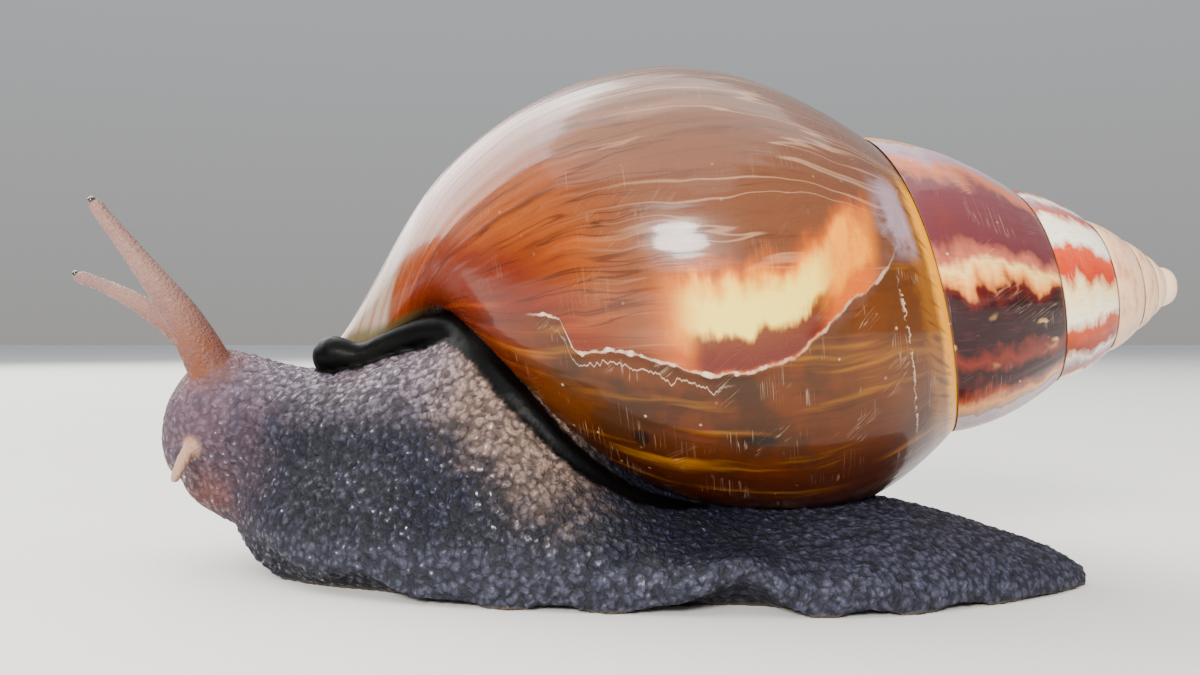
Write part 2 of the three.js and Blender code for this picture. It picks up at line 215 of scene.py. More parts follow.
shellRelief = {
    "stepsRound": 470,       # rows in the last turn
    "shoulderColumns": 62,
    "baseColumns": 58,
    "insideRows": 25,        # rows of the inside wall behind the lip
    "insideTurns": 0.16,     # how far back the inside wall goes
    "lipBulge": [0.0012, 0.0016, 0.0012],   # turns by which the rolled lip stands forward, row by row
    "inset": 0.17,           # keeps the ridges inside the outline
    "growthRidge": 0.020,    # height of the growth ridges
    "coarseRidge": 0.050,    # height of the broad swellings between rests in growth
    "scarHeight": 0.11,      # raised seam where broken shell was mended
    "scarStep": 0.16,        # the mended part stands over the older part by this
    "turnLength": 170,       # way round the last turn where the break lies
    "spireRows": 1785,       # rows in all the upper turns together
    "spireColumns": 26,
    "spireTurns": (0.99, 6.9),   # the upper turns run from under the last one to inside the blunt tip
    "seamGroove": 0.10,      # depth of the groove in which the seam lies
    "tipRadius": 2.36,
    "tipLength": 7.0,
}
# the mended break across the last turn: distance down the axis, and turn at that distance
scarLine = [
    [33, 0.500], [35.9, 0.528], [36.8, 0.579], [39.9, 0.613], [44, 0.631],
    [45.7, 0.644], [49.5, 0.656], [54.8, 0.662], [59, 0.660], [62.8, 0.651],
    [69, 0.651], [70.3, 0.644], [70.9, 0.625], [73.2, 0.618], [76, 0.616],
]
fineWander = Waves(3, 55, 900, 26, 0.25)
coarseWander = Waves(5, 14, 120, 10, 0.5)
bendWander = Waves(8, 0.5, 6, 6, 0.9)
breakWander = Waves(12, 0.7, 5, 6, 0.7)


def growthBend(n, s):
    # growth lines lean and wander a little across the turn instead of lying in flat planes through the axis
    return n + 0.006 * bendWander(s / 9 + 3 * n) + 0.010 * np.sin((s - 40) / 16)


def ridgeHeight(n, s, t):
    # growth ridges and swellings that fade out at the seams
    g = growthBend(n, s)
    fade = smooth(0, 0.05, t) * smooth(1, 0.93, t)
    worn = mix(1, 0.55, smooth(0.64, 0.70, n) * (n < 1))
    ridges = shellRelief["growthRidge"] * fineWander(g) + shellRelief["coarseRidge"] * coarseWander(g)
    return fade * worn * ridges


def fromBreak(n, s):
    # millimetres round the turn from the mended break, below zero on the younger side
    line = along(scarLine, s, 1) + 0.0016 * breakWander(s / 2.2) + 0.0006 * breakWander(s * 2.1)
    return (n - line) * shellRelief["turnLength"]


def scarRelief(n, s):
    # a raised ragged seam along the break, with a small step down to the older side
    away = fromBreak(n, s)
    reach = smooth(33, 36, s) * smooth(76, 73, s)
    return reach * (shellRelief["scarHeight"] * np.exp(-(away / 0.3) ** 2)
                    - shellRelief["scarStep"] * smooth(0, 1.2, away) * smooth(14, 5, away))


def lastTurn():
    # outside of the last turn from the lip back one turn, its rolled lip, and a little of its inside wall
    k, m = shellRelief["shoulderColumns"], shellRelief["baseColumns"]
    inside = np.linspace(shellRelief["insideTurns"], 0, shellRelief["insideRows"] + 1)[:-1]
    outside = np.linspace(0, 1.0, shellRelief["stepsRound"])
    n = np.concatenate([inside, [0, 0, 0], outside])
    depth = np.concatenate([np.full(len(inside), shellForm["wall"]),
                            shellForm["wall"] * np.array([0.85, 0.5, 0.15]), np.zeros(len(outside))])
    lipOut = np.concatenate([np.zeros(len(inside)), shellRelief["lipBulge"], np.zeros(len(outside))])
    n, depth, lipOut = n[:, None], depth[:, None], lipOut[:, None]
    t = np.concatenate([np.linspace(0, 1, k), np.ones(m)])[None]
    b = np.concatenate([np.zeros(k), np.linspace(0, 1, m + 1)[1:]])[None]
    stripS, _ = strip(n + 0 * t, t + 0 * n)
    shoulderEnd = widestS(n) + shellForm["shoulderReach"]
    s = np.where(b > 0, mix(shoulderEnd, baseS(n), np.sin(b * np.pi / 2)), stripS)
    r = outline(n + 0 * s, s)
    whole = (s - sutureS(n)) / (baseS(n) - sutureS(n))
    body = np.minimum(1, r / 6)
    relief = body * (ridgeHeight(n + 0 * s, s, whole) + scarRelief(n + 0 * s, s)) * (depth == 0)
    r = np.maximum(r + relief - shellRelief["inset"] * body - depth * np.minimum(1, r / 3), 0.35)
    s = s - depth * smooth(0.85, 1, whole)
    place = aboutAxis(n - lipOut + 0 * s, s, r)
    values = np.stack([n + 0 * s, whole, s / 100], -1)
    return place, values, fromBreak(n + 0 * s, s)


def upperTurns():
    # the turns of the spire, each from its own seam out to the seam of the turn after it
    n = np.linspace(*shellRelief["spireTurns"], shellRelief["spireRows"])[:, None]
    t = np.linspace(0, 1, shellRelief["spireColumns"])[None]
    s, r = strip(n + 0 * t, t + 0 * n)
    r = r + ridgeHeight(n + 0 * s, s + 60, t + 0 * s) * smooth(0, 8, r) - 0.03 * (n < 1)
    r = r - shellRelief["seamGroove"] * np.exp(-(t / 0.035) ** 2) * smooth(1, 6, r)
    return aboutAxis(n + 0 * s, s, r), np.stack([n + 0 * s, t + 0 * s, s / 100], -1)


def spireTip():
    # the blunt first turn: a quarter circle turned about the axis, then a stem that narrows inside the spire
    a = np.linspace(0, 1, 26)[:, None]
    turn = np.linspace(0, 1, 41)[None, :-1]
    s = -0.1 + shellRelief["tipLength"] * a ** 1.6
    rounded = np.sqrt(np.clip(1 - (1 - np.clip(a / 0.5, 0, 1)) ** 2, 0, 1))
    r = shellRelief["tipRadius"] * rounded * (1 - 0.55 * smooth(0.55, 1, a)) + 0.01
    place = aboutAxis(turn + 7 + 0 * s, s + 0 * turn, r + 0 * turn)
    return place, np.stack([6.5 + 0 * s * turn, 0.5 + 0 * s * turn, (s + 0 * turn) / 100], -1)


def makeLastTurn():
    # the last turn as one mesh
    place, values, mend = lastTurn()
    rows, columns = place.shape[:2]
    return meshFrom("shell_last_turn", place, gridFaces(rows, columns, flip=True),
                    {"growth": values.reshape(-1, 3), "mend": mend.ravel()})


def makeSpire():
    # the upper turns and the blunt tip as one mesh
    upper, upperValues = upperTurns()
    dome, domeValues = spireTip()
    domeFaces = gridFaces(*dome.shape[:2], roundColumns=True, first=upper.shape[0] * upper.shape[1])
    faces = np.concatenate([gridFaces(*upper.shape[:2], flip=True), domeFaces])
    vertices = np.concatenate([upper.reshape(-1, 3), dome.reshape(-1, 3)])
    values = np.concatenate([upperValues.reshape(-1, 3), domeValues.reshape(-1, 3)])
    return meshFrom("shell_spire", vertices, faces, {"growth": values, "mend": np.full(len(vertices), 99.0)})


# skin: foot, body, neck, head, feelers and mantle grown together as one

fleshForm = {
    "footHalfWidth": 22.3,
    "marginThickness": 1.3,
    "backHeights": [          # distance along the body, height of the back above the sole
        [-44, 9], [-42, 13], [-38, 18.5], [-32, 21.5], [-26, 23.5], [-20, 27],
        [-14, 31], [-9, 29], [-4, 22.5], [0, 17.5], [5, 12.5], [12, 9.6],
        [20, 9], [31, 9], [38, 7.6], [44.6, 5.6], [50, 3.7], [53, 1.8]],
    "neck": [                 # along the body, across, height, half width, half height
        [-53.4, 7.2, 15.0, 1.6, 1.6], [-52.4, 7.1, 15.2, 4.6, 4.7], [-50, 6.8, 16.2, 7.2, 7.0],
        [-46.5, 6.3, 17.2, 8.7, 8.6], [-42, 5.6, 16.2, 9.5, 8.6], [-35, 4.4, 14.6, 11.8, 8.6],
        [-28, 2.9, 14.2, 14.4, 10.0], [-22, 1.6, 14.7, 16, 11], [-16, 0.4, 15, 14, 10]],
    "footSpan": (-43.5, 53.2),
    "neckSpan": (-53.4, -16),
    "plugTurns": (0.0, 0.16),   # how far back the body fills the opening
    "voxel": 0.42,            # grain of the mesh in which the flesh grows together
    "evenRounds": 8,          # rounds of smoothing everywhere
    "flankRounds": 34,        # more rounds where the neck runs into the flank
}
# feelers: place and thickness along each
eyeFeelers = {
    "left": [
        [-44.6, 3.4, 18.5, 2.9], [-46.0, 2.4, 22.2, 2.75], [-47.6, 1.6, 26.0, 2.45],
        [-49.6, 0.6, 30.0, 2.0], [-52.4, -0.4, 34.0, 1.55], [-55.2, -1.3, 38.0, 1.15],
        [-57.4, -1.9, 41.0, 0.9], [-58.2, -2.2, 42.2, 0.85], [-58.62, -2.4, 42.8, 0.5]],
    "right": [
        [-44.9, 9.3, 19.0, 2.9], [-47.6, 10.0, 22.4, 2.5], [-51.2, 10.8, 26.0, 1.95],
        [-55.4, 11.7, 29.2, 1.5], [-60.2, 12.5, 32.0, 1.15], [-64.4, 13.1, 33.9, 0.9],
        [-67.0, 13.5, 34.8, 0.85], [-67.6, 13.56, 35.15, 0.45]],
}
lowerFeelers = {
    "left": [
        [-46.3, 0.4, 16, 1.3], [-47.6, -1.6, 14, 0.9], [-48.4, -2.7, 12.0, 0.7], [-48.9, -3.2, 10.4, 0.5]],
    "right": [
        [-49, 12, 15, 1.3], [-50.6, 13.4, 13.2, 0.9], [-51.8, 14.3, 11.4, 0.7], [-52.6, 14.8, 9.9, 0.5]],
}
# flesh under the chin that joins the head to the front of the foot
throat = [[-48.0, 5.4, 12.6, 3.6], [-46.4, 5.2, 10.6, 4.4], [-43.6, 4.6, 9.6, 5.0], [-39.0, 4.2, 8.6, 5.5]]
# the dark edge of the mantle follows the rim of the shell all the way round: place and thickness
mantleEdge = [
    [-31.6, 0.2, 24.8, 2.25], [-27.8, -1.2, 24.8, 1.6], [-24.4, -1.7, 26.1, 1.65], [-21.2, -2.3, 27.3, 1.8],
    [-18.4, -3.5, 27.8, 2.0], [-16.0, -5.6, 27.5, 1.7], [-13.9, -9.0, 25.6, 1.35], [-11.0, -12.2, 22.7, 1.3],
    [-8.2, -14.3, 19.9, 1.3], [-3.4, -15.6, 14.9, 1.3], [1.4, -15.4, 11.2, 1.2], [6.6, -13.6, 8.8, 1.2],
    [12.8, -9.6, 7.0, 1.2], [19.0, -2.0, 7.4, 1.3], [22.5, 6.0, 9.0, 1.3], [21.5, 12.5, 12.6, 1.2],
    [18.3, 16.0, 15.0, 1.2], [8.5, 19.0, 11.7, 1.2], [-1.3, 20.5, 9.8, 1.2], [-11.4, 19.1, 10.7, 1.2],
    [-21.8, 13.3, 15.8, 1.2], [-29.3, 6.2, 20.8, 1.3],
]


def curveThrough(points, count, closed=False):
    # a rounded curve through the points, each span a cubic whose slopes come from the points on either side
    p = np.array(points, float)
    if closed:
        p = np.concatenate([p[-1:], p, p[:2]])
    else:
        p = np.concatenate([2 * p[:1] - p[1:2], p, 2 * p[-1:] - p[-2:-1]])
    spans = len(p) - 3
    u = np.linspace(0, spans, count, endpoint=not closed)
    i = np.clip(u.astype(int), 0, spans - 1)
    t = (u - i)[:, None]
    a, b, c, d = p[i], p[i + 1], p[i + 2], p[i + 3]
    return 0.5 * (2 * b + (c - a) * t + (2 * a - 5 * b + 4 * c - d) * t**2
                  + (3 * b - a - 3 * c + d) * t**3)


def limbRings(points, sides, count, closed=False):
    # circles of the given thickness standing square on the curve through the points
    path = curveThrough(points, count, closed)
    centre, radius = path[:, :3], path[:, 3]
    tangent = np.roll(centre, -1, 0) - np.roll(centre, 1, 0) if closed else np.gradient(centre, axis=0)
    tangent /= np.linalg.norm(tangent, axis=1, keepdims=True)
    side = np.cross([0, 0, 1.0], tangent)
    side /= np.linalg.norm(side, axis=1, keepdims=True)
    over = np.cross(tangent, side)
    a = np.linspace(0, 2 * np.pi, sides, endpoint=False)
    return (centre[:, None] + radius[:, None, None] * (np.cos(a)[None, :, None] * side[:, None]
            + np.sin(a)[None, :, None] * over[:, None]))


def middleY(x):
    # the middle line of the foot: straight, a little aslant
    return -1 - 0.14 * x


def halfWidth(x):
    # half the width of the sole: a blunt rounded front, a long pointed rear and a small bulge on the way
    v = (x - 5) / 48.6
    front = np.sqrt(np.maximum(0, 1 - np.abs(v) ** 3))
    rear = np.maximum(0, 1 - v * v) ** 0.75
    return fleshForm["footHalfWidth"] * np.where(v < 0, front, rear) + 1.2 * np.exp(-(((x - 27) / 9) ** 2))


def edgeLift(x, side):
    # the edge of the sole curls up under the head, ripples, and lifts in one fold on each side
    front = 2.3 * smooth(-14, -27, x) + 4.4 * smooth(-31, -44, x)
    ripple = 0.35 * np.sin(x * 0.62 + 2 * side) * smooth(48, 38, x)
    fold = np.where(side < 0, 3.2 * np.exp(-(((x - 13) / 4.4) ** 2)), 1.6 * np.exp(-(((x + 2) / 5) ** 2)))
    return np.where(side < 0, front, 0.7 * front) + fold + 0.35 + ripple


def noseLift(x):
    # the whole front end of the sole rises off the ground
    return 4.4 * smooth(-34.5, -44, x)


def footRings(x0, x1, count):
    # sections across the foot: over the back from one edge to the other, then back along the flat sole
    x = np.linspace(x0, x1, count)[:, None]
    v = -np.cos(np.linspace(0, 1, 44) * np.pi)[None]
    half = halfWidth(x)
    back = along(fleshForm["backHeights"], x, 1)
    steep = mix(1.2, 1.12, smooth(-34, -14, x))
    arch = np.maximum(0, 1 - v * v) ** (steep / 2)
    lift = np.maximum(noseLift(x), edgeLift(x, np.sign(v)) * smooth(0.72, 1, np.abs(v)))
    thin = np.minimum(fleshForm["marginThickness"], 0.3 + 0.05 * half)
    y = middleY(x) + v * half
    sole = np.stack([x + 0 * y, y, lift], -1)
    top = np.stack([x + 0 * y, y, lift + thin + arch * np.maximum(back - thin - lift, 0.1)], -1)
    return np.concatenate([top, sole[:, ::-1]], 1)


def neckRings(x0, x1, count):
    # oval sections of the neck and head
    x = np.linspace(x0, x1, count)
    y, z, b, c = (along(fleshForm["neck"], x, k)[:, None] for k in (1, 2, 3, 4))
    a = np.linspace(0, 2 * np.pi, 40, endpoint=False)[None]
    return np.stack([x[:, None] + 0 * a, y + b * np.cos(a), z + c * np.sin(a)], -1)


def mantlePlug(n0, n1, count):
    # the soft body filling the opening behind the lip, between the outer wall and the wall of the turn before
    n = np.linspace(n0, n1, count)[:, None]
    j = np.linspace(0, 1, 24)[None]
    s = mix(sutureS(n) + 3.4, baseS(n) - 2.6, np.sin(j * np.pi / 2))
    roof = np.maximum(outline(n + 0 * s, s) - shellForm["wall"] - 0.4, 2.4)
    before = np.where(s < baseS(n + 1), outline(n + 1 + 0 * s, s) + 0.6, 0)
    wall = np.minimum(np.maximum(before, mix(3.6, 1.6, smooth(82, 88, s))) + 0.4, roof - 0.6)
    upper, lower = aboutAxis(n + 0 * s, s, roof), aboutAxis(n + 0 * s, s, wall)
    return np.concatenate([upper, lower[:, ::-1]], 1)


def evenOut(places, edges, rounds, amount, pull=0.55, push=0.57):
    # repeated averaging with neighbours: every second step pushes back out again unless push is 0
    here, there = edges.T
    size = len(places)
    count = np.bincount(here, minlength=size) + np.bincount(there, minlength=size)
    for step in range(rounds * 2):
        total = np.stack([np.bincount(here, places[there, k], size)
                          + np.bincount(there, places[here, k], size) for k in range(3)], 1)
        inward = total / count[:, None] - places
        places = places + inward * (pull if step % 2 == 0 or not push else -push) * amount[:, None]
    return places


def jitter(cells, salt):
    # a repeatable number from 0 to 1 for each whole-numbered cell
    x, y, z = cells[..., 0], cells[..., 1], cells[..., 2]
    mixed = (x * 73856093) ^ (y * 19349663) ^ (z * 83492791) ^ (salt * 2654435761)
    mixed = (mixed ^ (mixed >> 13)) * 1274126177 & 0xffffffff
    return ((mixed ^ (mixed >> 16)) & 0xffff) / 65535.0


def pebbles(places, size, salt=1):
    # distance from each place to the nearest and second nearest of scattered points, one point to a cell
    q = places / np.asarray(size, float)
    home = np.floor(q).astype(np.int64)
    first = np.full(len(q), 9.0)
    second = np.full(len(q), 9.0)
    for step in np.ndindex(3, 3, 3):
        cell = home + np.array(step) - 1
        point = cell + np.stack([jitter(cell, salt + k) for k in range(3)], -1)
        away = np.linalg.norm(q - point, axis=1)
        second = np.minimum(second, np.maximum(first, away))
        first = np.minimum(first, away)
    return first, second


def growSkin():
    # foot, neck, feelers, throat, mantle edge and body grown together, smoothed and pressed flat below
    shift = np.array(shellForm["shift"])
    solids = [closedTube(footRings(*fleshForm["footSpan"], 150)),
              closedTube(neckRings(*fleshForm["neckSpan"], 60)),
              closedTube(mantlePlug(*fleshForm["plugTurns"], 30) - shift)]
    for points in eyeFeelers.values():
        solids.append(closedTube(limbRings(points, 24, 60)))
    for points in (*lowerFeelers.values(), throat):
        solids.append(closedTube(limbRings(points, 20, 24)))
    ring = limbRings(mantleEdge, 18, 160, closed=True)
    rim = np.concatenate([ring, ring[:1]])
    solids.append((rim.reshape(-1, 3), gridFaces(len(rim), 18, True)))
    vertices, faces, start = [], [], 0
    for places, quads in solids:
        vertices.append(places + shift)
        faces.append(quads + start)
        start += len(places)
    rough = meshFrom("skin_rough", np.concatenate(vertices), np.concatenate(faces))
    remesh = rough.modifiers.new("grow together", "REMESH")
    remesh.mode = "VOXEL"
    remesh.voxel_size = fleshForm["voxel"] * mm
    bpy.context.view_layer.update()
    whole = rough.evaluated_get(bpy.context.evaluated_depsgraph_get()).to_mesh()
    places = np.empty(len(whole.vertices) * 3)
    whole.vertices.foreach_get("co", places)
    edges = np.empty(len(whole.edges) * 2, int)
    whole.edges.foreach_get("vertices", edges)
    corners = np.empty(len(whole.loops), int)   # the voxel remesh makes four-cornered faces only
    whole.loops.foreach_get("vertex_index", corners)
    places, edges = places.reshape(-1, 3) / mm - shift, edges.reshape(-1, 2)
    bpy.data.objects.remove(rough)

    x, y, z = places.T
    edgePath = curveThrough(mantleEdge, 400, True)
    rimAway = np.min([np.linalg.norm(places - p[:3], axis=1) - p[3] for p in edgePath], 0)
    feelerAway = np.full(len(places), 99.0)
    for points in (*eyeFeelers.values(), *lowerFeelers.values()):
        feelerAway = np.minimum(feelerAway, np.min(
            [np.linalg.norm(places - p[:3], axis=1) - p[3] for p in curveThrough(points, 60)], 0))
    feeler = smooth(0.7, 0.1, feelerAway)
    out = np.abs((y - middleY(x)) / np.maximum(halfWidth(x), 0.5))
    amount = mix(1.0, 0.25, np.clip(np.maximum(feeler, smooth(0.9, 0.2, rimAway)), 0, 1))
    flank = smooth(-12, -20, x) * smooth(-50, -45, x) * smooth(3.5, 7, z) * (amount > 0.95)
    places = evenOut(places, edges, fleshForm["evenRounds"], amount * mix(1, 0.45, smooth(0.9, 1.0, out)))
    places = evenOut(places, edges, fleshForm["flankRounds"], flank * 0.95, push=0.0)
    places[:, 2] = np.where(z < 0.25, np.maximum(z - 0.21, 0), places[:, 2])
    return places, corners.reshape(-1, 4), shift, rimAway, feelerAway


skinRelief = {
    "neckPebble": (1.5, 1.15, 1.15),   # size of the raised pebbles along, across and up
    "neckHeight": 0.36,
    "finePebble": (0.85, 0.8, 0.8),
    "fineHeight": 0.16,
    "marginFurrow": 0.08,
}


def raiseSkin(places, corners, shift, rimAway, feelerAway):
    # lifts rounded pebbles off the skin along its outward direction and marks where each kind of skin lies
    outward = np.zeros_like(places)
    p = places[corners]
    square = np.cross(p[:, 2] - p[:, 0], p[:, 3] - p[:, 1])
    for k in range(4):
        for axis in range(3):
            outward[:, axis] += np.bincount(corners[:, k], square[:, axis], len(places))
    outward /= np.maximum(np.linalg.norm(outward, axis=1, keepdims=True), 1e-9)
    x, y, z = places.T
    first, second = pebbles(places, skinRelief["neckPebble"], 11)
    large = np.sqrt(np.clip((second - first) / 0.55, 0, 1)) - 0.55
    first, second = pebbles(places, skinRelief["finePebble"], 29)
    fine = np.sqrt(np.clip((second - first) / 0.6, 0, 1)) - 0.55
    out = np.abs((y - middleY(x)) / np.maximum(halfWidth(x), 0.5))
    margin = smooth(0.93, 0.99, out) * smooth(8, 4, z)
    sole = smooth(0.8, 0.2, z)
    mantle = smooth(0.75, 0.35, rimAway + 0.15 * np.sin(x * 2.1) * np.sin(z * 1.7))
    feeler = smooth(0.5, 0.05, feelerAway) * (x < -44)
    blush = smooth(2.6, 0.0, feelerAway) * (x < -42)
    head = smooth(-42, -48, x) * (1 - feeler)
    tail = smooth(20, 30, x)
    bare = (1 - mantle) * (1 - sole)
    height = skinRelief["neckHeight"] * large * (1 - head) * (1 - 0.35 * tail)
    height *= (1 - feeler) * (1 - 0.8 * margin)
    height += skinRelief["fineHeight"] * fine * (1 - 0.5 * margin) * mix(1, 0.4, feeler)
    height += skinRelief["marginFurrow"] * margin * np.sin(x * 5.2 + 2 * np.sin(x * 1.3))
    places = places + outward * (height * bare)[:, None]
    places[:, 2] = np.maximum(places[:, 2], 0)
    warm = smooth(11.5, 0.0, rimAway) * smooth(-34, -26, x) * smooth(5, -6, y) * smooth(5, -9, x)
    values = {
        "mantle": mantle,
        "warm": warm,
        "feeler": np.maximum(feeler, 0.55 * blush * (z > 18)),
        "pebble": np.clip(large + 0.55, 0, 1),
        "margin": margin,
    }
    return places + shift, values


def makeSkin():
    # the skin as one mesh
    grown = growSkin()
    places, values = raiseSkin(*grown)
    print("skin faces", len(grown[1]))
    return meshFrom("skin", places, grown[1], values)


# eyes

def eyeSpot(centre, radius, toward):
    # a small ball drawn as rings turned about the direction it looks along
    a = np.linspace(0.02, np.pi - 0.02, 15)[:, None]
    b = np.linspace(0, 2 * np.pi, 24, endpoint=False)[None]
    toward = np.array(toward, float) / np.linalg.norm(toward)
    side = np.cross(toward, [0, 0, 1.0])
    side /= np.linalg.norm(side)
    over = np.cross(side, toward)
    ring = (np.cos(a)[..., None] * toward + (np.sin(a) * np.cos(b))[..., None] * side
            + (np.sin(a) * np.sin(b))[..., None] * over)
    rings = np.array(centre) + radius * ring
    rings[0], rings[-1] = rings[0].mean(0), rings[-1].mean(0)
    return rings


eyeForm = {
    "left": ((-58.65, -2.42, 42.84), (-0.55, -0.25, 0.8)),
    "right": ((-67.66, 13.57, 35.20), (-0.9, 0.2, 0.35)),
    "radius": 0.46,
}


def makeEye(side):
    # the dark spot at the end of one eye feeler
    centre, toward = eyeForm[side]
    rings = eyeSpot(np.array(centre) + np.array(shellForm["shift"]), eyeForm["radius"], toward)
    return meshFrom("eye_spot_" + side, rings, gridFaces(*rings.shape[:2], roundColumns=True, flip=True))


# building

lastTurnPiece = makeLastTurn()
spirePiece = makeSpire()
print("shell built")
skinPiece = makeSkin()
print("skin built")
eyePieces = {side: makeEye(side) for side in ("left", "right")}

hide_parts("shell_body_whorl")
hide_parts("shell_penultimate_whorl", "shell_third_whorl", "shell_apex")
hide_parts("mantle_collar", "trunk", "tail", "foot_front", "neck", "head",
            "eye_stalk_left", "eye_stalk_right", "lower_tentacle_left", "lower_tentacle_right")
for side, piece in eyePieces.items():
    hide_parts("eye_" + side)
for piece in (lastTurnPiece, spirePiece, skinPiece, *eyePieces.values()):
    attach(piece, "root")


# shader writing

class Wire:
    # a value or colour on its way through a material; each sum or product of wires adds a node
    def __init__(self, book, socket):
        self.book, self.socket = book, socket

    def step(self, operation, *others):
        return self.book.node("ShaderNodeMath", {"operation": operation}, [self, *others])

    def __add__(self, other):
        return self.step("ADD", other)

    def __sub__(self, other):
        return self.step("SUBTRACT", other)

    def __mul__(self, other):
        return self.step("MULTIPLY", other)

    def __truediv__(self, other):
        return self.step("DIVIDE", other)

    def __rsub__(self, other):
        return self.book.node("ShaderNodeMath", {"operation": "SUBTRACT"}, [other, self])

    __radd__ = __add__
    __rmul__ = __mul__


class Shader:
    # one tree of nodes, of a material or of the world, and the few ways its nodes are made
    def __init__(self, owner):
        self.owner = owner
        owner.use_nodes = True
        self.tree = owner.node_tree

    def node(self, kind, settings=None, inputs=(), output=0):
        made = self.tree.nodes.new(kind)
        for label, value in (settings or {}).items():
            if label == "stops":
                ramp = made.color_ramp
                while len(ramp.elements) < len(value):
                    ramp.elements.new(0.5)
                for element, (position, colour) in zip(ramp.elements, value):
                    element.position = position
                    element.color = (*colour, 1)
            else:
                setattr(made, label, value)
        for label, value in (inputs.items() if isinstance(inputs, dict) else enumerate(inputs)):
            self.feed(made.inputs[label], value)
        return Wire(self, made.outputs[output])

    def feed(self, socket, value):
        if isinstance(value, Wire):
            self.tree.links.new(value.socket, socket)
        elif isinstance(value, tuple) and len(value) == 3 and socket.type == "RGBA":
            socket.default_value = (*value, 1)
        else:
            socket.default_value = value

    def ease(self, value, low, high):
        return self.node("ShaderNodeMapRange", {"interpolation_type": "SMOOTHSTEP"},
                         {"Value": value, "From Min": low, "From Max": high})

    def blend(self, factor, a, b):
        return self.node("ShaderNodeMix", {"data_type": "RGBA"}, {0: factor, 6: a, 7: b}, 2)

    def ramp(self, value, stops):
        return self.node("ShaderNodeValToRGB", {"stops": stops}, [value])

    def vector(self, x, y, z):
        return self.node("ShaderNodeCombineXYZ", {}, [x, y, z])

    def noise(self, vector, scale, detail=2.0, roughness=0.5, output=0):
        return self.node("ShaderNodeTexNoise", {}, {
            "Vector": vector, "Scale": scale, "Detail": detail, "Roughness": roughness}, output)

    def cells(self, vector, scale, output="Distance"):
        return self.node("ShaderNodeTexVoronoi", {}, {"Vector": vector, "Scale": scale}, output)

    def softCells(self, vector, scale, smoothness):
        return self.node("ShaderNodeTexVoronoi", {"feature": "SMOOTH_F1"}, {
            "Vector": vector, "Scale": scale, "Smoothness": smoothness}, "Distance")

    def carried(self, name):
        return self.node("ShaderNodeAttribute", {"attribute_name": name}, (), "Fac")

    def places(self):
        # Object coordinates in millimetres
        where = self.node("ShaderNodeTexCoord", {}, (), "Object")
        return self.node("ShaderNodeVectorMath", {"operation": "SCALE"}, {"Vector": where, "Scale": 1000.0})

    def split(self, vector):
        parts = self.node("ShaderNodeSeparateXYZ", {}, [vector])
        return [Wire(self, output) for output in parts.socket.node.outputs]

    def bump(self, height, distance, strength):
        return self.node("ShaderNodeBump", {}, {"Height": height, "Distance": distance, "Strength": strength})

    def finish(self, sockets):
        for label, value in sockets.items():
            self.feed(self.tree.nodes["Principled BSDF"].inputs[label], value)
        return self.owner


def tone(red, green, blue):
    # a colour given as seen on screen, 0 to 255, turned into the linear values that a shader takes
    c = np.array([red, green, blue]) / 255
    return tuple(float(v) for v in np.where(c <= 0.04045, c / 12.92, ((c + 0.055) / 1.055) ** 2.4))


# shell colours

shellTones = {
    "taupe": tone(104, 70, 48),
    "mauve": tone(104, 60, 36),
    "golden": tone(130, 58, 0),
    "rust": tone(98, 27, 0),
    "darkStreak": tone(46, 13, 3),
    "paleStreak": tone(214, 168, 130),
    "cream": tone(255, 226, 96),
    "yellow": tone(252, 150, 0),
    "flame": tone(212, 94, 0),
    "plum": tone(74, 17, 18),
    "oldAmber": tone(88, 40, 0),
    "oldOlive": tone(56, 29, 4),
    "oldRust": tone(54, 13, 0),
    "oldDark": tone(20, 9, 3),
    "bandGold": tone(232, 152, 0),
    "bandBrown": tone(104, 52, 0),
    "scar": tone(226, 196, 168),
    "newGrowth": tone(150, 134, 118),
    "edgeOlive": tone(84, 76, 46),
    "lilac": tone(166, 142, 156),
    "scratch": tone(226, 196, 160),
}


def breakMarks(m, n, w, s, mend, ragged):
    # the raised pale line of the mended break, thin and uneven, a crack beside it and one up the older part
    breadth = m.ease(m.noise(m.vector(s * 0.5, 8.0, 0.0), 1.0, 2.0), 0.40, 0.65)
    reach = m.ease(s, 35.0, 37.0) * m.ease(s, 75.0, 72.5)
    edge = (mend + ragged * 0.5).step("ABSOLUTE") - breadth * 0.22
    line = m.ease(edge, 0.16, 0.02) * reach * (0.35 + breadth * 0.65) * (0.5 + m.ease(s, 48.0, 53.0) * 0.5)
    beside = mend - 1.6 + (m.noise(m.vector(s * 0.4, 6.0, 0.0), 1.0, 3.0, 0.7) - 0.5) * 6.0
    crack = m.ease(beside.step("ABSOLUTE"), 0.15, 0.03) * m.ease(s, 54.0, 57.0) * m.ease(s, 73.0, 68.0)
    over = w * 100.0 - 10.2 + ragged * 3.5
    tear = m.ease(over.step("ABSOLUTE"), 0.24, 0.05) * m.ease(n, 0.60, 0.63) * m.ease(n, 0.76, 0.73)
    return line.step("MAXIMUM", crack * 0.5).step("MAXIMUM", tear * m.ease(ragged, -0.12, 0.06) * 0.7)


